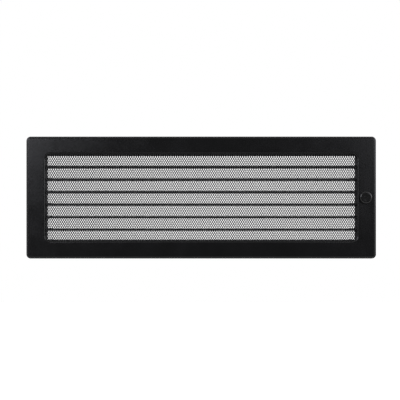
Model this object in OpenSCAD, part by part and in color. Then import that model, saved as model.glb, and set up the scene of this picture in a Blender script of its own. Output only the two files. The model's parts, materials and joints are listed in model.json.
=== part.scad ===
// Louvred air grille: a pressed front frame with an expanded-metal screen and a
// shutter of six linked slats, worked by a knob, in a sheet wall frame.
// X runs along the grille, Y points into the wall and Z points up. The origin is
// in the wall's face, at the middle of the wall opening.

/* [Front frame] */
// Overall width of the front frame
frame_w = 490; // [488:1:496]
// Overall height of the front frame
frame_h = 171; // [170:1:178]
// How far the front face stands in front of the wall
frame_d = 9; // [8.8:0.1:9.2]
// Thickness of the front frame's sheet
frame_t = 1.2; // [1:0.1:1.2]
// Corner radius of the front frame's outline
frame_r = 6; // [5:0.5:6]
// Outer bend radius of the frame's outer edge
edge_r = 4; // [2.4:0.2:4]
// Width of the clear window
window_w = 436.4; // [434:0.4:436.4]
// Height of the clear window
window_h = 122.2; // [121:0.4:122.2]
// Corner radius of the clear window
window_r = 7.5; // [6:0.5:8]
// Outer bend radius of the window's edge
lip_r = 2.4; // [1.8:0.2:2.8]
// Depth of the turned-in window edge
lip_d = 4.2; // [4:0.1:4.4]

/* [Screen] */
// Thickness of the expanded-metal screen
screen_t = 1; // [0.8:0.1:1]
// How far the screen reaches past the window at each end
screen_over_x = 3.3; // [3:0.1:3.5]
// How far the screen reaches past the window at the top and bottom
screen_over_z = 2.2; // [1.5:0.1:2.4]

/* [Shutter] */
// Thickness of the shutter's sheet
sheet_t = 0.8; // [0.6:0.1:0.8]
// Inside width of the shutter's cassette
cassette_w = 437; // [436.8:0.2:438.6]
// Inside height of the shutter's cassette
cassette_h = 118.8; // [118.8:0.2:119.6]
// Depth of the cassette
cassette_d = 23; // [22:0.5:26]
// Number of slats
slats = 6; // [6]
// Distance between the slats
slat_pitch = 17.7; // [17.6:0.1:18]
// How far the row of slats sits above the cassette's middle
slat_shift = -1; // [-1.2:0.1:0]
// Depth of a slat
slat_d = 18; // [17:0.1:18]
// Height of a slat, from its web's upper face to the ends of its lips
slat_h = 3.1; // [2.4:0.1:3.1]
// Distance of the slats' pivots behind the wall's face
pivot_y = 7; // [6.8:0.1:8]
// Radius of the slats' pivot pins
pivot_r = 2; // [1.8:0.1:2]
// Length of the slats' cranks and of the knob's crank
crank_e = 5; // [4.8:0.1:5]

/* [Knob] */
// Distance of the knob from the frame's middle
knob_x = 229.7; // [229.7:0.1:230]
// Radius of the knob
knob_r = 8.5; // [8:0.25:8.5]
// Height of the knob
knob_h = 6; // [5:0.1:6.4]
// Radius of the knob's shaft
shaft_r = 2.5; // [2.3:0.1:2.5]

/* [Wall frame] */
// Outside width of the wall frame's walls
pocket_w = 472; // [471.6:0.2:473]
// Outside height of the wall frame's walls
pocket_h = 153; // [152:0.5:154]
// Depth of the wall frame
pocket_d = 50; // [40:1:60]
// Width of the wall frame's flange
pocket_flange = 6; // [5:0.5:6]
// Radius of the wall frame's screw holes
screw_hole_r = 2.6; // [2:0.1:3]

/* [Hidden] */
$fn = 64;
cut = 1;                  // how far a cutter reaches past what it cuts
run_clear = 0.05;         // radial clearance of a shaft in its hole
link_clear = 0.06;        // radial clearance of the link pins
spring_gap = 0.3;         // between a spring's crest and the wall frame

// Depths behind the wall's face
back_y = -frame_d + frame_t;
lip_y = -frame_d + lip_d;
cas_y = lip_y + screen_t;
cas_back_y = cas_y + cassette_d;

// Shutter
rail_top_z = cassette_h / 2;
rail_bottom_z = -cassette_h / 2;
rail_flange = 11.4;
rail_back = 7;
side_x = cassette_w / 2;
blade_x = side_x - 2;
cap_x = side_x - 0.5;
cap_len = 9.2;
cap_d = 11;
cap_boss_r = 2.6;
nub_x = blade_x - 4.2;
nub_hole_r = 1.5;
nub_clear = 0.1;
nub_head_r = 2.3;
nub_head_h = 0.5;
lever_x = side_x + sheet_t + 0.5;
lever_t = 1;
link_x = lever_x + lever_t + 0.4;
link_t = 1;
link_w = 6;
link_end = 4;
link_pin_r = 1.5;
link_head_x = link_x + link_t + 0.3;
link_head_t = 0.8;
tab_h = 8;
tab_end_x = 232.2;
close_deg = 78;
tab_y = pivot_y - crank_e - link_w / 2 - link_t;

// Fasteners
m3_r = 1.5;
m3_hole_r = 1.7;
m3_head_r = 2.9;
m3_head_h = 2;
standoff_r = 3;
screw_xs = [-205, -70, 70, 205];
screw_z = 7.2;
rivet_r = 1.6;
rivet_head_r = 3;
rivet_head_h = 0.9;
tail_r = 2.1;
tail_h = 0.6;

// Cassette corners
ear_len = 14;
ear_y = [2, 15];
ear_rivet_x = side_x - 7;
ear_rivet_ys = [5, 12];

// Springs
spring_x = 150;
spring_w = 20;
spring_t = 0.6;
spring_rivet_dx = 6;
spring_rivet_y = 6;
spring_base_y = 1.5;
spring_fold_y = 14;
spring_fold_r = 1.2;
spring_crest_r = 1.5;
spring_lean = 40;         // how far the leaf leans forwards
spring_over = 150;        // where the crest's bend ends
spring_tip = 3;

// Knob
knob_gap = 0.4;
knob_rim = 1.5;
knob_dish = 0.5;
knob_dish_r = 5.6;
bush_r = 3.5;
bush_flange_r = 5.4;
bush_flange_t = 0.8;
washer_t = 0.4;
washer_gap = 0.1;
crank_t = 1.4;
clip_t = 0.6;
clip_rim = 0.8;           // how far the clip stands out round the shaft
clip_groove = 0.6;
clip_mouth = 2.4;
shaft_tail = 0.6;
crank_pin_end_y = 3.6;
crank_front_y = back_y + bush_flange_t + washer_gap + washer_t;

// Wall frame
wall_x = pocket_w / 2 - sheet_t;
wall_z = pocket_h / 2 - sheet_t;
lap_len = 14;
lap_y = [10, 40];
lap_rivet_ys = [16, 34];
lap_rivet_x = wall_x - 8;
fix_y = 32;
fix_x = 150;
fix_z = 45;

function slat_z(i) = slat_shift + ((slats + 1) / 2 - i) * slat_pitch;

// Draws on the front view, x to the right and y up, with height towards the viewer.
module facing_front() {
    rotate([90, 0, 0]) children();
}

// Draws the section across the grille, x as Y and y as Z, and runs it from x0 to x1.
module along_x(x0, x1) {
    translate([x0, 0, 0]) rotate([90, 0, 90]) linear_extrude(x1 - x0) children();
}

module mirror_copy(axis) {
    children();
    mirror(axis) children();
}

module rect(x0, y0, x1, y1) {
    translate([x0, y0]) square([x1 - x0, y1 - y0]);
}

module box(x, y, z) {
    translate([x[0], y[0], z[0]]) cube([x[1] - x[0], y[1] - y[0], z[1] - z[0]]);
}

module rod_x(x0, x1, r) {
    translate([x0, 0, 0]) rotate([0, 90, 0]) cylinder(h = x1 - x0, r = r);
}

module rod_y(y0, y1, r) {
    translate([0, y0, 0]) rotate([-90, 0, 0]) cylinder(h = y1 - y0, r = r);
}

module rod_z(z0, z1, r) {
    translate([0, 0, z0]) cylinder(h = z1 - z0, r = r);
}

module round_rect(w, h, r) {
    square([w, h - 2 * r], center = true);
    square([w - 2 * r, h], center = true);
    for (x = [-1, 1], y = [-1, 1]) {
        translate([x * (w / 2 - r), y * (h / 2 - r)]) circle(r);
    }
}

// Sweeps a profile round a rectangle with round corners. The profile's x is the
// distance from a corner's centre, and its y is the height.
module sweep_round(w, h, r) {
    for (a = [0 : 3]) {
        sx = (a == 0 || a == 3) ? 1 : -1;
        sy = a < 2 ? 1 : -1;
        translate([sx * (w / 2 - r), sy * (h / 2 - r), 0])
            rotate([0, 0, a * 90]) rotate_extrude(angle = 90) children();
    }
    for (a = [0, 180]) {
        rotate([0, 0, a]) translate([w / 2 - r, 0, 0]) rotate([90, 0, 0])
            linear_extrude(h - 2 * r, center = true) children();
        rotate([0, 0, a + 90]) translate([h / 2 - r, 0, 0]) rotate([90, 0, 0])
            linear_extrude(w - 2 * r, center = true) children();
    }
}

// A quarter of a ring of sheet, bulging to +x and +y.
module quarter_bend(r, t) {
    intersection() {
        difference() {
            circle(r);
            circle(r - t);
        }
        square(r + cut);
    }
}

module frame_edge_profile() {
    rect(0, frame_d - frame_t, frame_r - edge_r, frame_d);
    translate([frame_r - edge_r, frame_d - edge_r]) quarter_bend(edge_r, frame_t);
    rect(frame_r - frame_t, 0, frame_r, frame_d - edge_r);
}

module window_edge_profile() {
    translate([window_r + lip_r, frame_d - lip_r]) mirror([1, 0]) quarter_bend(lip_r, frame_t);
    rect(window_r, frame_d - lip_d, window_r + frame_t, frame_d - lip_r);
    rect(window_r + lip_r, frame_d - frame_t, window_r + lip_r + cut, frame_d);
}

module front_frame() {
    color("#1c1c1e") difference() {
        facing_front() {
            translate([0, 0, frame_d - frame_t]) linear_extrude(frame_t) difference() {
                square([frame_w - 2 * frame_r, frame_h - 2 * frame_r], center = true);
                round_rect(window_w + 2 * lip_r, window_h + 2 * lip_r, window_r + lip_r);
            }
            sweep_round(frame_w, frame_h, frame_r) frame_edge_profile();
            sweep_round(window_w, window_h, window_r) window_edge_profile();
        }
        translate([knob_x, 0, 0]) rod_y(-frame_d - cut, back_y + cut, bush_r);
    }
}

module mesh_screen() {
    half_x = window_w / 2 + screen_over_x;
    half_z = window_h / 2 + screen_over_z;
    color("#151515") box([-half_x, half_x], [lip_y, cas_y], [-half_z, half_z]);
}

// A channel that opens away from the window. Its inner face is at z = 0.
module rail_section() {
    rect(cas_y, 0, cas_back_y, sheet_t);
    rect(cas_y, 0, cas_y + sheet_t, rail_flange);
    rect(cas_back_y - sheet_t, 0, cas_back_y, rail_back);
}

module rail() {
    difference() {
        along_x(-side_x, side_x) rail_section();
        for (x = screw_xs) {
            translate([x, 0, screw_z]) rod_y(cas_y - cut, cas_y + 2 * cut, m3_hole_r);
        }
        mirror_copy([1, 0, 0]) {
            for (y = ear_rivet_ys) {
                translate([ear_rivet_x, y, 0]) rod_z(-cut, 2 * cut, rivet_r);
            }
            for (dx = [-1, 1]) {
                translate([spring_x + dx * spring_rivet_dx, spring_rivet_y, 0])
                    rod_z(-cut, 2 * cut, rivet_r);
            }
        }
    }
}

module on_top_rail() {
    translate([0, 0, rail_top_z]) children();
}

module on_bottom_rail() {
    translate([0, 0, rail_bottom_z]) mirror([0, 0, 1]) children();
}

module cassette_top_rail() {
    color("#1a1a1a") on_top_rail() rail();
}

module cassette_bottom_rail() {
    color("#1a1a1a") on_bottom_rail() rail();
}

// The right side: a plate with the pivot holes and an ear over each rail.
module cassette_side() {
    top = rail_top_z + 2 * sheet_t;
    bottom = rail_bottom_z - 2 * sheet_t;
    difference() {
        union() {
            box([side_x, side_x + sheet_t], [cas_y, cas_back_y],
                [rail_bottom_z, rail_top_z]);
            box([side_x, side_x + sheet_t], ear_y, [bottom, top]);
            box([side_x - ear_len, side_x + sheet_t], ear_y, [top - sheet_t, top]);
            box([side_x - ear_len, side_x + sheet_t], ear_y, [bottom, bottom + sheet_t]);
        }
        for (i = [1 : slats]) {
            translate([0, pivot_y, slat_z(i)])
                rod_x(side_x - cut, side_x + 2 * cut, pivot_r + run_clear);
        }
        for (y = ear_rivet_ys) {
            translate([ear_rivet_x, y, 0]) rod_z(bottom - cut, top + cut, rivet_r);
        }
    }
}

module cassette_right_side() {
    color("#1a1a1a") cassette_side();
}

module cassette_left_side() {
    color("#1a1a1a") mirror([1, 0, 0]) cassette_side();
}

// A blind rivet through sheet from z = 0 to z = grip, with its head above.
module rivet(grip) {
    ball_r = (pow(rivet_head_r, 2) + pow(rivet_head_h, 2)) / (2 * rivet_head_h);
    rod_z(0, grip, rivet_r);
    translate([0, 0, grip]) intersection() {
        rod_z(0, rivet_head_h, rivet_head_r);
        translate([0, 0, rivet_head_h - ball_r]) sphere(ball_r);
    }
    rod_z(-tail_h, 0, tail_r);
}

module cassette_rivets() {
    color("silver") mirror_copy([1, 0, 0]) {
        for (y = ear_rivet_ys) {
            on_top_rail() translate([ear_rivet_x, y, 0]) rivet(2 * sheet_t);
            on_bottom_rail() translate([ear_rivet_x, y, 0]) rivet(2 * sheet_t);
        }
    }
}

module cassette_fixings() {
    for (x = screw_xs) {
        on_top_rail() translate([x, 0, screw_z]) children();
        on_bottom_rail() translate([x, 0, screw_z]) children();
    }
}

module cassette_standoffs() {
    color("silver") cassette_fixings() difference() {
        rod_y(back_y, cas_y, standoff_r);
        rod_y(back_y + sheet_t, cas_y + cut, m3_r + run_clear);
    }
}

module cassette_screws() {
    seat_y = cas_y + sheet_t;
    slot = 0.8;
    color("dimgray") cassette_fixings() difference() {
        union() {
            rod_y(back_y + 2 * sheet_t, seat_y, m3_r);
            rod_y(seat_y, seat_y + m3_head_h, m3_head_r);
        }
        for (a = [0, 90]) {
            rotate([0, a, 0]) box([-1.8, 1.8], [seat_y + 0.9, seat_y + m3_head_h + cut],
                                  [-slot / 2, slot / 2]);
        }
    }
}

function unit(v) = v / norm(v);

// The point beside number i of a line of points, d to its left.
function beside(points, i, d) =
    let(
        last = len(points) - 1,
        u = unit(points[max(i, 1)] - points[max(i, 1) - 1]),
        v = unit(points[min(i + 1, last)] - points[min(i, last - 1)]),
        m = unit(u + v)
    )
    points[i] + d / (m * u) * [-m[1], m[0]];

function arc(centre, r, from, to, steps) =
    [for (k = [0 : steps]) let(a = from + k * (to - from) / steps)
        centre + r * [cos(a), sin(a)]];

// The middle line of a folded leaf that stands h above the sheet it is riveted to:
// a base, a fold at the back, a rising leaf, a round crest and a tip that drops.
function leaf_line(h) =
    let(
        low = spring_t / 2,
        fold = [spring_fold_y, low + spring_fold_r],
        crest_z = h - low - spring_crest_r,
        rise = crest_z - fold[1],
        crest_y = spring_fold_y
            + (spring_fold_r - spring_crest_r - rise * sin(spring_lean)) / cos(spring_lean),
        crest = [crest_y, crest_z],
        end = crest + spring_crest_r * [cos(spring_over), sin(spring_over)]
    )
    concat(
        [[spring_base_y, low]],
        arc(fold, spring_fold_r, -90, spring_lean, 8),
        arc(crest, spring_crest_r, spring_lean, spring_over, 8),
        [end + spring_tip * [-sin(spring_over), cos(spring_over)]]
    );

module spring_leaf(h) {
    line = leaf_line(h);
    last = len(line) - 1;
    difference() {
        along_x(-spring_w / 2, spring_w / 2)
            polygon(concat(
                [for (i = [0 : last]) beside(line, i, spring_t / 2)],
                [for (i = [last : -1 : 0]) beside(line, i, -spring_t / 2)]
            ));
        for (dx = [-1, 1]) {
            translate([dx * spring_rivet_dx, spring_rivet_y, 0]) rod_z(-cut, 2 * cut, rivet_r);
        }
    }
}

module top_spring(side) {
    base_z = rail_top_z + sheet_t;
    color("lightgray") translate([side * spring_x, 0, base_z])
        spring_leaf(wall_z - spring_gap - base_z);
}

module bottom_spring(side) {
    base_z = rail_bottom_z - sheet_t;
    color("lightgray") translate([side * spring_x, 0, base_z]) mirror([0, 0, 1])
        spring_leaf(wall_z - spring_gap + base_z);
}

module spring_clip_rivets() {
    color("silver") for (side = [-1, 1], dx = [-1, 1]) {
        x = side * spring_x + dx * spring_rivet_dx;
        on_top_rail() translate([x, spring_rivet_y, 0]) rivet(sheet_t + spring_t);
        on_bottom_rail() translate([x, spring_rivet_y, 0]) rivet(sheet_t + spring_t);
    }
}

// Moves a slat's own drawing, made round its pivot, to slat number i.
module at_slat(i) {
    translate([0, pivot_y, slat_z(i)]) children();
}

// A shallow channel: a flat web on top, and a lip down along its front and back.
module slat(i) {
    half_d = slat_d / 2;
    top = slat_h / 2;
    color("#202020") at_slat(i) difference() {
        along_x(-blade_x, blade_x) {
            rect(-half_d, top - sheet_t, half_d, top);
            rect(-half_d, -top, -half_d + sheet_t, top);
            rect(half_d - sheet_t, -top, half_d, top);
        }
        mirror_copy([1, 0, 0]) translate([nub_x, 0, 0]) rod_z(0, top + cut, nub_hole_r);
    }
}

// A moulded cap in the slat's right end: a tongue under the web with a nub that snaps
// through it, an end plate, and the pivot pin out to pin_end.
module slat_cap(pin_end) {
    top = slat_h / 2;
    box([cap_x - cap_len, blade_x], [-cap_d / 2, cap_d / 2], [-top, top - sheet_t]);
    box([blade_x, cap_x], [-cap_d / 2, cap_d / 2], [-top, top]);
    translate([nub_x, 0, 0]) {
        rod_z(0, top, nub_hole_r - nub_clear);
        rod_z(top, top + nub_head_h, nub_head_r);
    }
    rod_x(blade_x, cap_x, cap_boss_r);
    rod_x(cap_x, pin_end, pivot_r);
}

module slat_left_cap(i) {
    color("#101010") at_slat(i) mirror([1, 0, 0]) slat_cap(side_x + sheet_t + 1);
}

module slat_right_cap(i) {
    color("#101010") at_slat(i) slat_cap(lever_x + lever_t);
}

// The crank on a slat's pivot, with the pin that carries the link bar.
module slat_crank(i) {
    hub_r = 3.4;
    eye_r = 2.5;
    web = 4.4;
    color("silver") at_slat(i) {
        difference() {
            along_x(lever_x, lever_x + lever_t) {
                circle(hub_r);
                translate([-crank_e, 0]) circle(eye_r);
                rect(-crank_e, -web / 2, 0, web / 2);
            }
            rod_x(lever_x - cut, lever_x + 2 * cut, pivot_r);
        }
        translate([0, -crank_e, 0]) {
            rod_x(lever_x + lever_t, link_head_x, link_pin_r);
            rod_x(link_head_x, link_head_x + link_head_t, eye_r - 0.2);
        }
    }
}

module link_bar() {
    link_y = pivot_y - crank_e;
    slot_r = link_pin_r + link_clear;
    slot_x0 = knob_x - crank_e - link_pin_r - 0.3;
    slot_x1 = knob_x - crank_e * cos(close_deg) + link_pin_r + 0.3;
    color("silver") difference() {
        union() {
            box([link_x, link_x + link_t], [link_y - link_w / 2, link_y + link_w / 2],
                [slat_z(slats) - link_end, slat_z(1) + link_end]);
            box([link_x, tab_end_x], [tab_y, tab_y + link_t], [-tab_h / 2, tab_h / 2]);
        }
        for (i = [1 : slats]) {
            translate([0, link_y, slat_z(i)])
                rod_x(link_x - cut, link_x + link_t + cut, slot_r);
        }
        box([slot_x0, slot_x1], [tab_y - cut, tab_y + link_t + cut], [-slot_r, slot_r]);
    }
}

module at_knob() {
    translate([knob_x, 0, 0]) children();
}

// The turned shape of the knob, x from its axis and y up from its underside.
module knob_profile() {
    flat_r = knob_r - knob_rim;
    dish_ball = (pow(knob_dish_r, 2) + pow(knob_dish, 2)) / (2 * knob_dish);
    difference() {
        union() {
            rect(0, 0, knob_r, knob_h - knob_rim);
            rect(0, 0, flat_r, knob_h);
            translate([flat_r, knob_h - knob_rim]) intersection() {
                circle(knob_rim);
                square(knob_rim + cut);
            }
        }
        translate([0, knob_h - knob_dish + dish_ball]) circle(dish_ball, $fn = 256);
        rect(-knob_r - cut, -cut, 0, 2 * knob_h);
    }
}

module knob_cap() {
    color("#18181a") at_knob() difference() {
        translate([0, -frame_d - knob_gap, 0]) facing_front() rotate_extrude() knob_profile();
        rod_y(-frame_d - knob_gap - knob_h + knob_rim, -frame_d, shaft_r);
    }
}

module knob_shaft() {
    crank_back_y = crank_front_y + crank_t;
    color("silver") at_knob() difference() {
        rod_y(-frame_d - knob_gap - knob_h + knob_rim, crank_back_y + clip_t + shaft_tail,
              shaft_r);
        difference() {
            rod_y(crank_back_y, crank_back_y + clip_t, shaft_r + cut);
            rod_y(crank_back_y - cut, crank_back_y + clip_t + cut, shaft_r - clip_groove);
        }
    }
}

module knob_bush() {
    color("#e8e4d8") at_knob() difference() {
        union() {
            rod_y(-frame_d, back_y, bush_r);
            rod_y(back_y, back_y + bush_flange_t, bush_flange_r);
        }
        rod_y(-frame_d - cut, back_y + bush_flange_t + cut, shaft_r + run_clear);
    }
}

module knob_washer() {
    color("lightgray") at_knob() difference() {
        rod_y(crank_front_y - washer_t, crank_front_y, bush_flange_r - 0.6);
        rod_y(crank_front_y - cut, crank_front_y + cut, shaft_r);
    }
}

module knob_crank() {
    hub_r = 4;
    eye_r = 2.4;
    web = 4;
    color("silver") at_knob() {
        translate([0, crank_front_y + crank_t, 0]) difference() {
            facing_front() linear_extrude(crank_t) {
                circle(hub_r);
                translate([-crank_e, 0]) circle(eye_r);
                rect(-crank_e, -web / 2, 0, web / 2);
            }
            rod_y(-crank_t - cut, cut, shaft_r);
        }
        translate([-crank_e, 0, 0])
            rod_y(crank_front_y + crank_t, crank_pin_end_y, link_pin_r);
    }
}

module knob_clip() {
    y0 = crank_front_y + crank_t;
    y1 = y0 + clip_t;
    color("dimgray") at_knob() difference() {
        rod_y(y0, y1, shaft_r + clip_rim);
        rod_y(y0 - cut, y1 + cut, shaft_r - clip_groove);
        box([0, shaft_r + 2 * cut], [y0 - cut, y1 + cut], [-clip_mouth / 2, clip_mouth / 2]);
    }
}

// The wall frame's top strip: a wall, and a flange that lies on the wall's face.
module pocket_long() {
    difference() {
        union() {
            box([-pocket_w / 2, pocket_w / 2], [-sheet_t, pocket_d], [wall_z, pocket_h / 2]);
            box([-pocket_w / 2 - pocket_flange, pocket_w / 2 + pocket_flange],
                [-sheet_t, 0], [pocket_h / 2, pocket_h / 2 + pocket_flange]);
        }
        mirror_copy([1, 0, 0]) {
            translate([fix_x, fix_y, 0]) rod_z(wall_z - cut, wall_z + 2 * cut, screw_hole_r);
            for (y = lap_rivet_ys) {
                translate([lap_rivet_x, y, 0]) rod_z(wall_z - cut, wall_z + 2 * cut, rivet_r);
            }
        }
    }
}

// The wall frame's right strip, with an ear lapped under each long strip.
module pocket_short() {
    difference() {
        union() {
            box([wall_x, pocket_w / 2], [-sheet_t, pocket_d], [-wall_z, wall_z]);
            box([pocket_w / 2, pocket_w / 2 + pocket_flange], [-sheet_t, 0],
                [-pocket_h / 2, pocket_h / 2]);
            mirror_copy([0, 0, 1])
                box([wall_x - lap_len, wall_x], lap_y, [wall_z - sheet_t, wall_z]);
        }
        for (z = [-fix_z, fix_z]) {
            translate([0, fix_y, z]) rod_x(wall_x - cut, wall_x + 2 * cut, screw_hole_r);
        }
        for (y = lap_rivet_ys) {
            translate([lap_rivet_x, y, 0]) rod_z(-wall_z - cut, wall_z + cut, rivet_r);
        }
    }
}

module wall_frame_top() {
    color("#b9bdc0") pocket_long();
}

module wall_frame_bottom() {
    color("#b9bdc0") mirror([0, 0, 1]) pocket_long();
}

module wall_frame_right() {
    color("#b9bdc0") pocket_short();
}

module wall_frame_left() {
    color("#b9bdc0") mirror([1, 0, 0]) pocket_short();
}

module wall_frame_rivets() {
    color("silver") mirror_copy([1, 0, 0]) mirror_copy([0, 0, 1]) {
        for (y = lap_rivet_ys) {
            translate([lap_rivet_x, y, pocket_h / 2]) mirror([0, 0, 1]) rivet(2 * sheet_t);
        }
    }
}

front_frame();
mesh_screen();
cassette_top_rail();
cassette_bottom_rail();
cassette_left_side();
cassette_right_side();
cassette_rivets();
cassette_standoffs();
cassette_screws();
top_spring(-1);  // spring_clip_top_left
top_spring(1);  // spring_clip_top_right
bottom_spring(-1);  // spring_clip_bottom_left
bottom_spring(1);  // spring_clip_bottom_right
spring_clip_rivets();
for (i = [1 : slats]) {
    slat(i);
    slat_left_cap(i);
    slat_right_cap(i);
    slat_crank(i);
}
link_bar();
knob_cap();
knob_shaft();
knob_bush();
knob_washer();
knob_crank();
knob_clip();
wall_frame_top();
wall_frame_bottom();
wall_frame_left();
wall_frame_right();
wall_frame_rivets();
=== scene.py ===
"""Looks for the louvred air grille: black powder-coated front unit, expanded-metal screen,
roll-formed slats, moulded knob, zinc linkage and a galvanised wall frame."""

import json
import math

import bmesh
import bpy
from mathutils import Matrix, Vector


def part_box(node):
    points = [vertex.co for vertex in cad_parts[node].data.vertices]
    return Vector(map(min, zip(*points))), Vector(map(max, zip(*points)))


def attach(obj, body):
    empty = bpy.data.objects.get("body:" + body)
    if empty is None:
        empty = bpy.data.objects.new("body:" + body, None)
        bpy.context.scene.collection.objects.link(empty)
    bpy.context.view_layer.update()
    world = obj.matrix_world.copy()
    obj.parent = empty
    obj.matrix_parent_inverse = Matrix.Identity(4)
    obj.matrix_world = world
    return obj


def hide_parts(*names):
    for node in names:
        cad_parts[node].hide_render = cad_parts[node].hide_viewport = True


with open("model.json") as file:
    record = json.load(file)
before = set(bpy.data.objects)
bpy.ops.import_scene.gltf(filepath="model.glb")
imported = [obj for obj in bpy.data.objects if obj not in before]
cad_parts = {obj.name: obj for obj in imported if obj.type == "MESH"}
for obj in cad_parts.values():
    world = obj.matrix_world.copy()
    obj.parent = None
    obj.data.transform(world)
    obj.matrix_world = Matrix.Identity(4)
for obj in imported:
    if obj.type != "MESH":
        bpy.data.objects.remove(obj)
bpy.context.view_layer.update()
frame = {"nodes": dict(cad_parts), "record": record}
NODES = frame["nodes"]
SLOT_OF = {s["node"]: s["material_slot"] for s in frame["record"]["subparts"]}
BODY_OF = {n: b for b, ns in frame["record"]["behaviour"]["bodies"].items() for n in ns}
MM = 0.001

# ---------------------------------------------------------------- mesh helpers

SHARP_DEG = 35
SHARP_DEG_ON_BENDS = 30
SOFTENED_DEG = 40
SOFTENED_STEPS = 2
ON_AXIS = 1e-7
HOLE_STEPS = 24
FOLD_STEPS = 6


def mesh_object(name, verts, faces):
    mesh = bpy.data.meshes.new(name)
    mesh.from_pydata([tuple(v) for v in verts], [], faces)
    mesh.validate()
    obj = bpy.data.objects.new(name, mesh)
    bpy.context.scene.collection.objects.link(obj)
    face_outwards(mesh)
    return obj


def face_outwards(mesh):
    bm = bmesh.new()
    bm.from_mesh(mesh)
    bmesh.ops.recalc_face_normals(bm, faces=bm.faces)
    bm.to_mesh(mesh)
    bm.free()


def smooth(obj, sharp_deg=SHARP_DEG):
    """Smooth shading that keeps flats flat and folds of more than sharp_deg sharp."""
    bm = bmesh.new()
    bm.from_mesh(obj.data)
    for face in bm.faces:
        face.smooth = True
    for edge in bm.edges:
        edge.smooth = edge.calc_face_angle(0) < math.radians(sharp_deg)
    bm.to_mesh(obj.data)
    bm.free()
    weighted_normals(obj)
    return obj


def weighted_normals(obj):
    modifier = obj.modifiers.new("normals", "WEIGHTED_NORMAL")
    modifier.mode = "FACE_AREA"
    modifier.keep_sharp = True


def soften(obj, width):
    """Rounds every folded or cut edge a little, as real sheet and mouldings have."""
    modifier = obj.modifiers.new("edges", "BEVEL")
    modifier.width = width
    modifier.segments = SOFTENED_STEPS
    modifier.limit_method = "ANGLE"
    modifier.angle_limit = math.radians(SOFTENED_DEG)
    weighted_normals(obj)


def apply_modifiers(obj):
    depsgraph = bpy.context.evaluated_depsgraph_get()
    done = bpy.data.meshes.new_from_object(obj.evaluated_get(depsgraph))
    obj.modifiers.clear()
    obj.data = done
    return obj


def cut_away(obj, cutters):
    """Subtracts the cutters from obj and removes them."""
    for cutter in cutters:
        modifier = obj.modifiers.new("cut", "BOOLEAN")
        modifier.operation = "DIFFERENCE"
        modifier.solver = "EXACT"
        modifier.object = cutter
    apply_modifiers(obj)
    for cutter in cutters:
        bpy.data.objects.remove(cutter)
    return obj


def turn_to(axis):
    """The rotation that brings z onto axis."""
    return Vector((0, 0, 1)).rotation_difference(Vector(axis)).to_matrix().to_4x4()


def lathe(name, profile, centre, axis, steps):
    """Turns a closed profile of (radius, height) round axis. A radius of 0 closes it."""
    place = Matrix.Translation(centre) @ turn_to(axis)
    verts, rows = [], []
    for r, h in profile:
        if r < ON_AXIS:
            verts.append(place @ Vector((0, 0, h)))
            rows.append([len(verts) - 1] * steps)
            continue
        rows.append(range(len(verts), len(verts) + steps))
        for s in range(steps):
            a = math.tau * s / steps
            verts.append(place @ Vector((r * math.cos(a), r * math.sin(a), h)))
    faces = []
    for a, b in zip(rows, rows[1:] + rows[:1]):
        for s in range(steps):
            t = (s + 1) % steps
            quad = list(dict.fromkeys((a[s], a[t], b[t], b[s])))
            if len(quad) > 2:
                faces.append(quad)
    return mesh_object(name, verts, faces)


def cylinder(name, centre, axis, radius, half_length, steps=48):
    profile = [(0, -half_length), (radius, -half_length), (radius, half_length), (0, half_length)]
    return lathe(name, profile, centre, axis, steps)


def join(name, parts):
    """One object from several, under a new name."""
    bm = bmesh.new()
    for part in parts:
        bm.from_mesh(part.data)
        bpy.data.objects.remove(part)
    mesh = bpy.data.meshes.new(name)
    bm.to_mesh(mesh)
    bm.free()
    obj = bpy.data.objects.new(name, mesh)
    bpy.context.scene.collection.objects.link(obj)
    return obj


def arc_points(centre, radius, start, end, steps):
    """Points on an arc, in degrees, both ends included."""
    out = []
    for k in range(steps + 1):
        a = math.radians(start + (end - start) * k / steps)
        out.append((centre[0] + radius * math.cos(a), centre[1] + radius * math.sin(a)))
    return out


# ---------------------------------------------------------------- bent sheet


def rounded_line(points, radius):
    """A line of 2-D points with each corner rounded."""
    points = [Vector(p) for p in points]
    out = [points[0]]
    for p, q, s in zip(points, points[1:], points[2:]):
        u, v = (q - p).normalized(), (s - q).normalized()
        turn = math.atan2(u.x * v.y - u.y * v.x, u.dot(v))
        side = Vector((-u.y, u.x)) * math.copysign(1, turn)
        start = q - u * radius * math.tan(abs(turn) / 2)
        centre = start + side * radius
        for k in range(FOLD_STEPS + 1):
            out.append(centre + Matrix.Rotation(turn * k / FOLD_STEPS, 2) @ (start - centre))
    out.append(points[-1])
    return out


def sheet_sides(line, thickness):
    """The two faces of a sheet whose middle runs along line."""
    left, right = [], []
    last = len(line) - 1
    for i, point in enumerate(line):
        u = (line[max(i, 1)] - line[max(i, 1) - 1]).normalized()
        v = (line[min(i + 1, last)] - line[min(i, last - 1)]).normalized()
        m = (u + v).normalized()
        side = Vector((-m.y, m.x)) * thickness / 2 / m.dot(u)
        left.append(point + side)
        right.append(point - side)
    return left, right


def sheet_along_x(name, corners, radius, thickness, x0, x1):
    """Sheet folded along corners, given as (y, z), and run from x0 to x1."""
    left, right = sheet_sides(rounded_line(corners, radius), thickness)
    count = len(left)
    verts = [(x, p.x, p.y) for x in (x0, x1) for p in left + right]
    far = 2 * count
    faces = []
    for i in range(count - 1):
        faces.append((i, i + 1, far + i + 1, far + i))
        faces.append((count + i, far + count + i, far + count + i + 1, count + i + 1))
        faces.append((i, count + i, count + i + 1, i + 1))
        faces.append((far + i, far + i + 1, far + count + i + 1, far + count + i))
    for i in (0, count - 1):
        faces.append((i, far + i, far + count + i, count + i))
    return mesh_object(name, verts, faces)


# ---------------------------------------------------------------- materials


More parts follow.
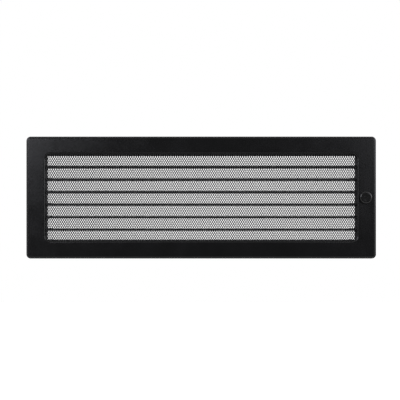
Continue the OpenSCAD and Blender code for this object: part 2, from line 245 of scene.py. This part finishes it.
class Material:
    """A small builder: one Principled shader and the nodes that feed it."""

    def __init__(self, name, **constants):
        self.material = bpy.data.materials.new(name)
        self.material.use_nodes = True
        self.tree = self.material.node_tree
        self.shader = self.tree.nodes["Principled BSDF"]
        self.coords = self.node("ShaderNodeTexCoord").outputs["Object"]
        for key, value in constants.items():
            self.shader.inputs[key.replace("_", " ")].default_value = value

    def node(self, kind, **settings):
        made = self.tree.nodes.new(kind)
        for key, value in settings.items():
            setattr(made, key, value)
        return made

    def link(self, source, target):
        self.tree.links.new(source, target)

    def feed(self, source, socket):
        self.link(source, self.shader.inputs[socket])

    def noise(self, size, detail=3.0, stretch=(1, 1, 1)):
        """Noise whose features are about size metres across."""
        mapping = self.node("ShaderNodeMapping")
        mapping.inputs["Scale"].default_value = [s / size for s in stretch]
        made = self.node("ShaderNodeTexNoise")
        made.inputs["Scale"].default_value = 1.0
        made.inputs["Detail"].default_value = detail
        self.link(self.coords, mapping.inputs["Vector"])
        self.link(mapping.outputs["Vector"], made.inputs["Vector"])
        return made.outputs["Fac"]

    def cells(self, size):
        """A random value for each crystal about size metres across."""
        made = self.node("ShaderNodeTexVoronoi")
        made.inputs["Scale"].default_value = 1 / size
        self.link(self.coords, made.inputs["Vector"])
        split = self.node("ShaderNodeSeparateColor")
        self.link(made.outputs["Color"], split.inputs["Color"])
        return split.outputs["Red"]

    def spread(self, value, low, high, source=(0.3, 0.7)):
        """value, mapped from its source range to low..high."""
        made = self.node("ShaderNodeMapRange")
        made.inputs["From Min"].default_value = source[0]
        made.inputs["From Max"].default_value = source[1]
        made.inputs["To Min"].default_value = low
        made.inputs["To Max"].default_value = high
        self.link(value, made.inputs["Value"])
        return made.outputs["Result"]

    def blend(self, factor, first, second):
        """Colour first or second, by factor. Either may be a colour or a socket."""
        made = self.node("ShaderNodeMix", data_type="RGBA")
        self.link(factor, made.inputs["Factor"])
        for index, value in ((6, first), (7, second)):
            if isinstance(value, (tuple, list)):
                made.inputs[index].default_value = (*value, 1)
            else:
                self.link(value, made.inputs[index])
        return made.outputs[2]

    def edge_highlight_mask(self):
        """0 on flats and 1 on outside edges: where the painted edge highlight goes."""
        pointiness = self.node("ShaderNodeNewGeometry").outputs["Pointiness"]
        return self.spread(pointiness, 0, 1, (0.52, 0.6))

    def bump(self, heights):
        """A chain of bumps, given as (height socket, depth in metres)."""
        normal = None
        for height, depth in heights:
            made = self.node("ShaderNodeBump")
            made.inputs["Strength"].default_value = 1.0
            made.inputs["Distance"].default_value = depth
            self.link(height, made.inputs["Height"])
            if normal is not None:
                self.link(normal, made.inputs["Normal"])
            normal = made.outputs["Normal"]
        self.feed(normal, "Normal")


def grey(value, blue=1.0):
    return (value, value, value * blue)


def powder_coat(name, dark, light, rough, grain=1.0):
    """Black powder coat: fine orange peel, faint cloudiness, and outside edges painted lighter as a
    highlight.
    """
    m = Material(name, Metallic=0.0, IOR=1.5)
    body = m.blend(m.spread(m.noise(0.045), 0, 1), grey(dark, 1.06), grey(light, 1.1))
    # outside edges are painted lighter here: a painted highlight standing in for light caught on the
    # bends
    m.feed(m.blend(m.edge_highlight_mask(), body, grey(light * 2.2, 1.05)), "Base Color")
    m.feed(m.spread(m.noise(0.02, 4), rough - 0.03, rough + 0.04), "Roughness")
    m.bump([(m.noise(0.0022, 2), 24e-6 * grain), (m.noise(0.0006, 1), 7e-6 * grain)])
    return m.material


def galvanised(name):
    """Hot-dip zinc: crystals that differ in tone and gloss, with faint rolling lines."""
    m = Material(name, Metallic=1.0)
    crystal = m.cells(0.009)
    zinc = m.blend(m.spread(crystal, 0, 1, (0, 1)), (0.42, 0.44, 0.46), (0.58, 0.60, 0.62))
    dull = m.spread(m.noise(0.03, 5), 0, 0.45, (0.45, 0.75))
    m.feed(m.blend(dull, zinc, (0.36, 0.38, 0.39)), "Base Color")
    m.feed(m.spread(crystal, 0.30, 0.46, (0, 1)), "Roughness")
    m.bump([(m.noise(0.0008, 2, (0.08, 1, 1)), 6e-6), (crystal, 8e-6)])
    return m.material


def plated_steel(name, dark, light, rough):
    """Zinc-plated or bare steel with fine scratches and a cloudy tone."""
    m = Material(name, Metallic=1.0)
    m.feed(m.blend(m.spread(m.noise(0.004, 4), 0, 1), dark, light), "Base Color")
    m.feed(m.spread(m.noise(0.0015, 3, (1, 0.15, 1)), rough - 0.08, rough + 0.1), "Roughness")
    m.bump([(m.noise(0.0006, 2, (1, 0.1, 1)), 5e-6)])
    return m.material


def moulded(name, dark, light, rough, ior=1.48):
    """Moulded plastic with a fine spark-eroded grain."""
    m = Material(name, Metallic=0.0, IOR=ior)
    m.feed(m.blend(m.spread(m.noise(0.006), 0, 1), dark, light), "Base Color")
    m.feed(m.spread(m.noise(0.003, 3), rough - 0.05, rough + 0.07), "Roughness")
    m.bump([(m.noise(0.0004, 2), 8e-6)])
    return m.material


MATERIALS = {
    "frame_powder_coat": powder_coat("frame_coat", 0.0052, 0.0072, 0.21),
    # the screen's base colour is lighter than the frame's, though both are the same black paint: a
    # painted sheen for light caught by the tilted strands
    "screen_powder_coat": powder_coat("screen_coat_painted_sheen", 0.013, 0.017, 0.5, 0.5),
    "cassette_powder_coat": powder_coat("cassette_coat", 0.005, 0.007, 0.6),
    "slat_powder_coat": powder_coat("slat_coat", 0.008, 0.011, 0.48),
    "cap_plastic": moulded("cap_nylon", grey(0.010), grey(0.016), 0.5),
    "knob_plastic": moulded("knob_plastic", grey(0.008), grey(0.011, 1.05), 0.13, ior=1.62),
    "bush_plastic": moulded("bush_nylon", (0.62, 0.60, 0.52), (0.72, 0.70, 0.62), 0.45),
    "linkage_steel": plated_steel("linkage_zinc", (0.48, 0.48, 0.46), (0.66, 0.65, 0.61), 0.36),
    "zinc_fasteners": plated_steel("fastener_zinc", (0.50, 0.50, 0.49), (0.70, 0.70, 0.68), 0.32),
    "spring_steel": plated_steel("spring_steel", (0.30, 0.30, 0.31), (0.46, 0.46, 0.47), 0.34),
    "rivet_aluminium": plated_steel("rivet_aluminium", (0.62, 0.62, 0.62), (0.78, 0.78, 0.77), 0.4),
    "galvanised_sheet": galvanised("galvanised"),
}


def dress(obj, slot):
    """Gives an object its slot's material."""
    if not obj.material_slots:
        obj.data.materials.append(MATERIALS[slot])
    for material_slot in obj.material_slots:
        material_slot.material = MATERIALS[slot]


def stand_for(piece, *nodes):
    """A finished piece that takes the place, body and slot of its CAD nodes."""
    slot = SLOT_OF[nodes[0]]
    dress(piece, slot)
    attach(piece, BODY_OF[nodes[0]])
    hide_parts(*nodes)
    return piece


# ---------------------------------------------------------------- front frame

SHEET = 1.2 * MM
EDGE_R = 4 * MM
CORNER_R = 6 * MM
LIP_R = 2.4 * MM
WINDOW_R = 7.5 * MM
SCREEN_OVER_X = 3.3 * MM
SCREEN_OVER_Z = 2.2 * MM
BUSH_HOLE_R = 3.5 * MM
BUSH_CUT_HALF = 4 * MM
BURR = 0.12 * MM
CORNER_STEPS = 14
BEND_STEPS = 10

FRAME_LO, FRAME_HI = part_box("front_frame")
SCREEN_LO, SCREEN_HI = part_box("mesh_screen")
FRONT_Y = FRAME_LO.y
LIP_Y = SCREEN_LO.y
WINDOW_X = SCREEN_HI.x - SCREEN_OVER_X
WINDOW_Z = SCREEN_HI.z - SCREEN_OVER_Z


def round_loop(half_x, half_z, radius, y):
    """A closed loop round a rectangle with round corners, seen from the front."""
    loop = []
    for k, (sx, sz) in enumerate(((1, 1), (-1, 1), (-1, -1), (1, -1))):
        centre = (sx * (half_x - radius), sz * (half_z - radius))
        arc = arc_points(centre, radius, 90 * k, 90 * k + 90, CORNER_STEPS)
        loop += [(x, y, z) for x, z in arc]
    return loop


def outer_loop(inset, y):
    return round_loop(FRAME_HI.x - inset, FRAME_HI.z - inset, CORNER_R - inset, y)


def window_loop(outset, y):
    return round_loop(WINDOW_X + outset, WINDOW_Z + outset, WINDOW_R + outset, y)


def front_frame():
    """Pressed bezel: leg, outer bend, flat face, window bend and turned-in lip."""
    back = FRAME_HI.y
    bend_y = FRONT_Y + EDGE_R
    lip_bend_y = FRONT_Y + LIP_R
    quarter = [math.radians(90 * k / BEND_STEPS) for k in range(BEND_STEPS + 1)]
    loops = [outer_loop(BURR, back), outer_loop(0, back - BURR)]
    loops += [outer_loop(EDGE_R * (1 - math.cos(a)), bend_y - EDGE_R * math.sin(a)) for a in quarter]
    loops += [window_loop(LIP_R * (1 - math.sin(a)), lip_bend_y - LIP_R * math.cos(a)) for a in quarter]
    loops += [window_loop(0, LIP_Y - BURR), window_loop(BURR, LIP_Y)]
    loops += [window_loop(SHEET - BURR, LIP_Y), window_loop(SHEET, LIP_Y - BURR)]
    inner = LIP_R - SHEET
    loops += [window_loop(LIP_R - inner * math.sin(a), lip_bend_y - inner * math.cos(a))
              for a in reversed(quarter)]
    inner = EDGE_R - SHEET
    loops += [outer_loop(EDGE_R - inner * math.cos(a), bend_y - inner * math.sin(a))
              for a in reversed(quarter)]
    loops += [outer_loop(SHEET, back - BURR), outer_loop(SHEET - BURR, back)]
    count = len(loops[0])
    verts = [v for loop in loops for v in loop]
    faces = []
    for a in range(len(loops)):
        b = (a + 1) % len(loops)
        for i in range(count):
            j = (i + 1) % count
            faces.append((a * count + i, a * count + j, b * count + j, b * count + i))
    piece = mesh_object("front_frame_bezel", verts, faces)
    lo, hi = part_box("knob_bush")
    middle = ((lo.x + hi.x) / 2, FRONT_Y, (lo.z + hi.z) / 2)
    cut_away(piece, [cylinder("bush_hole", middle, (0, 1, 0), BUSH_HOLE_R, BUSH_CUT_HALF)])
    smooth(piece, SHARP_DEG_ON_BENDS)
    stand_for(piece, "front_frame")


# ---------------------------------------------------------------- expanded metal

CELL_X = 3.14 * MM
CELL_Z = 5.061 * MM
STRAND = 0.96 * MM
STRAND_T = 0.45 * MM
STRAND_TILT = 0.25 * MM
HOLE_ROWS = 50
HALF_COLUMNS = 70


def trim(obj, point, outwards):
    """Shears off what lies past a plane, and closes the cut strands."""
    bm = bmesh.new()
    bm.from_mesh(obj.data)
    everything = bm.verts[:] + bm.edges[:] + bm.faces[:]
    done = bmesh.ops.bisect_plane(bm, geom=everything, plane_co=point, plane_no=outwards,
                                  clear_outer=True)
    edges = [e for e in done["geom_cut"] if isinstance(e, bmesh.types.BMEdge)]
    bmesh.ops.edgenet_fill(bm, edges=edges)
    bmesh.ops.recalc_face_normals(bm, faces=bm.faces)
    bm.to_mesh(obj.data)
    bm.free()


def expanded_screen():
    """Expanded metal: staggered diamonds whose strands are tilted out of the sheet."""
    mid_y = (SCREEN_LO.y + SCREEN_HI.y) / 2
    half_x, half_z = CELL_X / 2, CELL_Z / 2
    inset = STRAND / 2 * math.hypot(half_x, half_z) / (half_x * half_z)
    rim_x, rim_z = half_x * (1 - inset), half_z * (1 - inset)
    verts, faces, corner_index = [], [], {}

    def corner(u, v):
        """The front vertex of a tile corner; its back vertex is the next one."""
        if (u, v) not in corner_index:
            corner_index[u, v] = len(verts)
            for side in (-1, 1):
                verts.append((u * half_x, mid_y + side * STRAND_T / 2, v * half_z))
        return corner_index[u, v]

    edge_uses = {}
    for row in range(HOLE_ROWS):
        v = row - (HOLE_ROWS - 1) / 2
        odd = row % 2
        for column in range(-HALF_COLUMNS, HALF_COLUMNS + 1 - odd):
            u = 2 * column + odd
            tile = [corner(u + 1, v), corner(u, v + 1), corner(u - 1, v), corner(u, v - 1)]
            rim = []
            for dx, dz, tilt in ((rim_x, 0, -1), (0, rim_z, 0), (-rim_x, 0, 1), (0, -rim_z, 0)):
                rim.append(len(verts))
                for side in (-1, 1):
                    y = mid_y + side * STRAND_T / 2 + tilt * STRAND_TILT
                    verts.append((u * half_x + dx, y, v * half_z + dz))
            for i in range(4):
                j = (i + 1) % 4
                faces.append((tile[i], tile[j], rim[j], rim[i]))
                faces.append((tile[i] + 1, rim[i] + 1, rim[j] + 1, tile[j] + 1))
                faces.append((rim[i], rim[j], rim[j] + 1, rim[i] + 1))
                key = (min(tile[i], tile[j]), max(tile[i], tile[j]))
                edge_uses[key] = edge_uses.get(key, 0) + 1
    for (a, b), uses in edge_uses.items():
        if uses == 1:
            faces.append((a, b, b + 1, a + 1))
    piece = mesh_object("expanded_metal_screen", verts, faces)
    trim(piece, (0, 0, SCREEN_HI.z), (0, 0, 1))
    trim(piece, (0, 0, SCREEN_LO.z), (0, 0, -1))
    stand_for(piece, "mesh_screen")


# ---------------------------------------------------------------- shutter

SLAT_COUNT = 6
SHUTTER_T = 0.8 * MM
FOLD_R = 0.6 * MM
NUB_HOLE_R = 1.5 * MM
NUB_INSET = 4.2 * MM
RAIL_SHORT_FLANGE = 7 * MM
SCREW_HOLE_R = 1.7 * MM
SCREW_CUT_HALF = 2 * MM
RIVET_CUT_HALF = 1.5 * MM

RIVET_R = 1.6 * MM
HEAD_R = 3 * MM
HEAD_H = 0.9 * MM
HEAD_EDGE = 0.05 * MM
TAIL_R = 2.1 * MM
TAIL_H = 0.6 * MM
PIT_R = 0.85 * MM
PIT_H = 0.35 * MM
PIT_LIP = 0.1 * MM
PIT_LIP_H = 0.08 * MM
RIVET_STEPS = 32


def slat(number):
    """Roll-formed slat: a shallow channel, open below, with a hole for each cap's nub."""
    node = f"slat_{number}"
    lo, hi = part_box(node)
    half_t = SHUTTER_T / 2
    web = hi.z - half_t
    corners = [(lo.y + half_t, lo.z), (lo.y + half_t, web), (hi.y - half_t, web), (hi.y - half_t, lo.z)]
    piece = sheet_along_x(f"slat_{number}_blade", corners, FOLD_R, SHUTTER_T, lo.x, hi.x)
    middle_y = (lo.y + hi.y) / 2
    cut_away(piece, [join("holes", [
        cylinder("hole", (x, middle_y, web), (0, 0, 1), NUB_HOLE_R, 1.5 * SHUTTER_T, HOLE_STEPS)
        for x in (lo.x + NUB_INSET, hi.x - NUB_INSET)])])
    smooth(piece)
    stand_for(piece, node)


def rail(node, up):
    """Channel-shaped rail of the cassette, with its screw and rivet holes."""
    lo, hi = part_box(node)
    half_t = SHUTTER_T / 2
    web = (lo.z if up > 0 else hi.z) + up * half_t
    tall = hi.z if up > 0 else lo.z
    short = web + up * (RAIL_SHORT_FLANGE - half_t)
    corners = [(lo.y + half_t, tall), (lo.y + half_t, web), (hi.y - half_t, web), (hi.y - half_t, short)]
    piece = sheet_along_x(node + "_channel", corners, FOLD_R, SHUTTER_T, lo.x, hi.x)
    cutters = []
    for centre, _ in fastener_places("cassette_screws"):
        if centre.z * up > 0:
            place = (centre.x, lo.y, centre.z)
            cutters.append(cylinder("hole", place, (0, 1, 0), SCREW_HOLE_R, SCREW_CUT_HALF, HOLE_STEPS))
    for group in ("cassette_rivets", "spring_clip_rivets"):
        for centre, _ in fastener_places(group):
            if centre.z * up > 0:
                place = (centre.x, centre.y, web)
                cutters.append(cylinder("hole", place, (0, 0, 1), RIVET_R, RIVET_CUT_HALF, HOLE_STEPS))
    cut_away(piece, [join("holes", cutters)])
    smooth(piece)
    stand_for(piece, node)


def fastener_places(node):
    """The middle and size of each separate solid in a node."""
    bm = bmesh.new()
    bm.from_mesh(NODES[node].data)
    bmesh.ops.remove_doubles(bm, verts=bm.verts, dist=1e-6)
    bm.verts.ensure_lookup_table()
    seen, places = set(), []
    for first in bm.verts:
        if first.index in seen:
            continue
        stack, island = [first], []
        seen.add(first.index)
        while stack:
            vert = stack.pop()
            island.append(vert.co.copy())
            for edge in vert.link_edges:
                other = edge.other_vert(vert)
                if other.index not in seen:
                    seen.add(other.index)
                    stack.append(other)
        lo = Vector([min(v[k] for v in island) for k in range(3)])
        hi = Vector([max(v[k] for v in island) for k in range(3)])
        places.append(((lo + hi) / 2, hi - lo))
    bm.free()
    return places


def blind_rivet(name, base, axis, grip):
    """A blind rivet through sheet from base for grip metres along axis: a domed head with
    the mandrel's pit, and a rolled tail."""
    top = grip + HEAD_H
    ball = (HEAD_R ** 2 + HEAD_H ** 2) / (2 * HEAD_H)
    start = math.degrees(math.asin((HEAD_R - HEAD_EDGE) / ball))
    end = math.degrees(math.asin((PIT_R + PIT_LIP) / ball))
    profile = [(0, -TAIL_H), (TAIL_R * 0.7, -TAIL_H), (TAIL_R * 0.95, -TAIL_H * 0.6),
               (TAIL_R, -TAIL_H * 0.2), (TAIL_R * 0.95, 0), (RIVET_R, 0), (RIVET_R, grip),
               (HEAD_R, grip), (HEAD_R, grip + HEAD_EDGE)]
    profile += arc_points((0, top - ball), ball, 90 - start, 90 - end, 8)
    profile += [(PIT_R, top - PIT_LIP_H), (PIT_R * 0.9, top - PIT_H), (0, top - PIT_H)]
    return lathe(name, profile, base, axis, RIVET_STEPS)


def rivets(node, outwards):
    """Each rivet of a group. outwards tells which way its head faces from its middle."""
    parts = []
    for centre, size in fastener_places(node):
        axis = Vector(outwards(centre))
        grip = size.z - HEAD_H - TAIL_H
        base = centre - axis * (size.z / 2 - TAIL_H)
        parts.append(blind_rivet(node, base, axis, grip))
    piece = smooth(join(node + "_blind", parts))
    stand_for(piece, node)


# ---------------------------------------------------------------- knob

KNOB_RIM = 2 * MM
KNOB_FOOT = 0.5 * MM
KNOB_FACE_T = 1.5 * MM
KNOB_BORE_R = 2.5 * MM
DISH = 0.08 * MM
DISH_R = 5 * MM
KNOB_STEPS = 96


def knob():
    """Moulded knob: a fillet at the foot, a round rim and a face that sinks a little."""
    lo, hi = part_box("knob_cap")
    radius = (hi.x - lo.x) / 2
    height = hi.y - lo.y
    bore_h = height - KNOB_FACE_T
    ball = (DISH_R ** 2 + DISH ** 2) / (2 * DISH)
    edge = math.degrees(math.asin(DISH_R / ball))
    profile = [(0, bore_h), (KNOB_BORE_R, bore_h), (KNOB_BORE_R, 0), (radius - KNOB_FOOT, 0)]
    profile += arc_points((radius - KNOB_FOOT, KNOB_FOOT), KNOB_FOOT, -90, 0, 4)[1:]
    profile += arc_points((radius - KNOB_RIM, height - KNOB_RIM), KNOB_RIM, 0, 90, 10)
    profile += arc_points((0, height - DISH + ball), ball, -90 + edge, -90, 12)[:-1]
    profile.append((0, height - DISH))
    centre = ((lo.x + hi.x) / 2, hi.y, (lo.z + hi.z) / 2)
    piece = lathe("knob_moulding", profile, centre, (0, -1, 0), KNOB_STEPS)
    smooth(piece, SHARP_DEG_ON_BENDS)
    stand_for(piece, "knob_cap")


# ---------------------------------------------------------------- carried-over CAD nodes

EDGE_SOFTNESS_MM = {
    "cassette_left_side": 0.25, "cassette_right_side": 0.25,
    "cassette_standoffs": 0.15, "cassette_screws": 0.25,
    "link_bar": 0.2, "knob_crank": 0.2, "knob_clip": 0.1, "knob_washer": 0.08,
    "knob_shaft": 0.2, "knob_bush": 0.15,
    "wall_frame_top": 0.25, "wall_frame_bottom": 0.25,
    "wall_frame_left": 0.25, "wall_frame_right": 0.25,
}
SLAT_CAP_SOFTNESS_MM = 0.3
SLAT_CRANK_SOFTNESS_MM = 0.15
SPRING_CLIP_SOFTNESS_MM = 0.12


def edge_softness(name):
    """How much a CAD node's edges are rounded, in mm. None leaves them sharp."""
    if name.startswith("slat") and name.endswith("_cap"):
        return SLAT_CAP_SOFTNESS_MM
    if name.startswith("slat") and name.endswith("_crank"):
        return SLAT_CRANK_SOFTNESS_MM
    if name.startswith("spring_clip") and not name.endswith("rivets"):
        return SPRING_CLIP_SOFTNESS_MM
    return EDGE_SOFTNESS_MM.get(name)


def carried_over():
    """Every CAD node gets its slot's material, and most get softened edges."""
    for name, obj in NODES.items():
        dress(obj, SLOT_OF[name])
        width = edge_softness(name)
        if width:
            soften(obj, width * MM)


# ---------------------------------------------------------------- studio

# metres, from the frame's face and from the grille's middle; the view's width is taken
# where the outer bend ends
CAMERA_DISTANCE = 1.5
CAMERA_BELOW = 0.034
VIEW_WIDTH = 0.5608
SENSOR = 0.036
PIXEL_FILTER = 1.4
# (place, brightness), from in front of the grille at 0 to behind it at 1
SURROUND = ((0.0, 0.10), (0.1, 0.12), (0.35, 0.75), (0.65, 0.48), (0.85, 0.12), (1.0, 0.06))
DAYLIGHT = (0.97, 0.98, 1.06)
SHIFT_X = -0.003
SHIFT_Z = 0.0545
FLOOR_HALF = 4.0
FLOOR_Z = -0.45
# name, place, width, height, power in watts
SOFTBOXES = (
    ("key_left", (-1.08, -2.25, 0.66), 1.0, 0.9, 9.6),
    ("fill_right", (1.08, -2.25, 0.66), 1.0, 0.9, 4.0),
    ("strip_right", (1.6, -1.9, 0.02), 0.4, 1.2, 0.8),
    ("strip_below", (0, -1.8, -1.7), 2.4, 0.5, 2.5),
    ("side_left", (-1.7, -0.5, 0.8), 0.8, 1.2, 6),
    ("side_right", (1.7, -0.5, 0.6), 0.8, 1.2, 6),
    ("back_left", (-1.2, 1.5, 1.1), 1.9, 1.9, 11),
    ("back_right", (1.4, 1.3, 0.9), 1.9, 1.9, 10),
)


def camera():
    data = bpy.data.cameras.new("camera")
    data.sensor_width = SENSOR * 1000
    data.lens = SENSOR * 1000 * (CAMERA_DISTANCE + EDGE_R) / VIEW_WIDTH
    data.shift_x = SHIFT_X
    data.shift_y = SHIFT_Z
    data.clip_end = 50
    obj = bpy.data.objects.new("camera", data)
    obj.location = (0, FRONT_Y - CAMERA_DISTANCE, -CAMERA_BELOW)
    obj.rotation_euler = (math.radians(90), 0, 0)
    bpy.context.scene.collection.objects.link(obj)
    bpy.context.scene.camera = obj


def softbox(name, place, width, height, power):
    """A lamp that the camera doesn't see, turned to the grille's middle."""
    data = bpy.data.lights.new(name, "AREA")
    data.shape = "RECTANGLE"
    data.color = DAYLIGHT
    data.size, data.size_y = width, height
    data.energy = power
    obj = bpy.data.objects.new(name, data)
    obj.location = place
    aim = Vector((0, 0, 0)) - Vector(place)
    obj.rotation_euler = aim.to_track_quat("-Z", "Y").to_euler()
    obj.visible_camera = False
    bpy.context.scene.collection.objects.link(obj)


def studio_world():
    """A white surround for the eye. What the grille reflects of it is bright at the sides and
    dim in front and behind, as between two large diffusers."""
    world = bpy.data.worlds.new("studio")
    world.use_nodes = True
    tree = world.node_tree
    background = tree.nodes["Background"]
    coords = tree.nodes.new("ShaderNodeTexCoord")
    split = tree.nodes.new("ShaderNodeSeparateXYZ")
    place = tree.nodes.new("ShaderNodeMapRange")
    place.inputs["From Min"].default_value = -1
    ramp = tree.nodes.new("ShaderNodeValToRGB")
    ramp.color_ramp.interpolation = "EASE"
    stops = ramp.color_ramp.elements
    for index, (position, value) in enumerate(SURROUND):
        stop = stops[index] if index < 2 else stops.new(position)
        stop.position = position
        stop.color = (value, value, value, 1)
    rays = tree.nodes.new("ShaderNodeLightPath")
    white = tree.nodes.new("ShaderNodeMix")
    white.data_type = "RGBA"
    white.inputs[7].default_value = (1, 1, 1, 1)
    tree.links.new(coords.outputs["Generated"], split.inputs["Vector"])
    tree.links.new(split.outputs["Y"], place.inputs["Value"])
    tree.links.new(place.outputs["Result"], ramp.inputs["Fac"])
    tree.links.new(ramp.outputs["Color"], white.inputs[6])
    tree.links.new(rays.outputs["Is Camera Ray"], white.inputs["Factor"])
    tree.links.new(white.outputs[2], background.inputs["Color"])
    bpy.context.scene.world = world


def floor():
    """A plain white floor well below the grille, which hangs on a wall."""
    corners = [(x * FLOOR_HALF, y * FLOOR_HALF, FLOOR_Z)
               for x, y in ((-1, -1), (1, -1), (1, 1), (-1, 1))]
    obj = mesh_object("floor", corners, [(0, 1, 2, 3)])
    material = bpy.data.materials.new("floor_white")
    material.use_nodes = True
    shader = material.node_tree.nodes["Principled BSDF"]
    shader.inputs["Base Color"].default_value = (0.9, 0.9, 0.9, 1)
    shader.inputs["Roughness"].default_value = 0.9
    shader.inputs["Emission Color"].default_value = (1, 1, 1, 1)
    shader.inputs["Emission Strength"].default_value = 0.9
    obj.data.materials.append(material)
    obj.visible_diffuse = False
    obj.visible_glossy = False


def studio():
    camera()
    studio_world()
    floor()
    for box in SOFTBOXES:
        softbox(*box)
    cycles = bpy.context.scene.cycles
    cycles.filter_width = PIXEL_FILTER
    cycles.denoising_prefilter = "NONE"
    view = bpy.context.scene.view_settings
    view.view_transform = "Standard"
    view.look = "None"


# ---------------------------------------------------------------- build

carried_over()
front_frame()
expanded_screen()
for slat_number in range(1, SLAT_COUNT + 1):
    slat(slat_number)
rail("cassette_top_rail", 1)
rail("cassette_bottom_rail", -1)
rivets("cassette_rivets", lambda c: (0, 0, math.copysign(1, c.z)))
rivets("spring_clip_rivets", lambda c: (0, 0, math.copysign(1, c.z)))
rivets("wall_frame_rivets", lambda c: (0, 0, -math.copysign(1, c.z)))
knob()
studio()
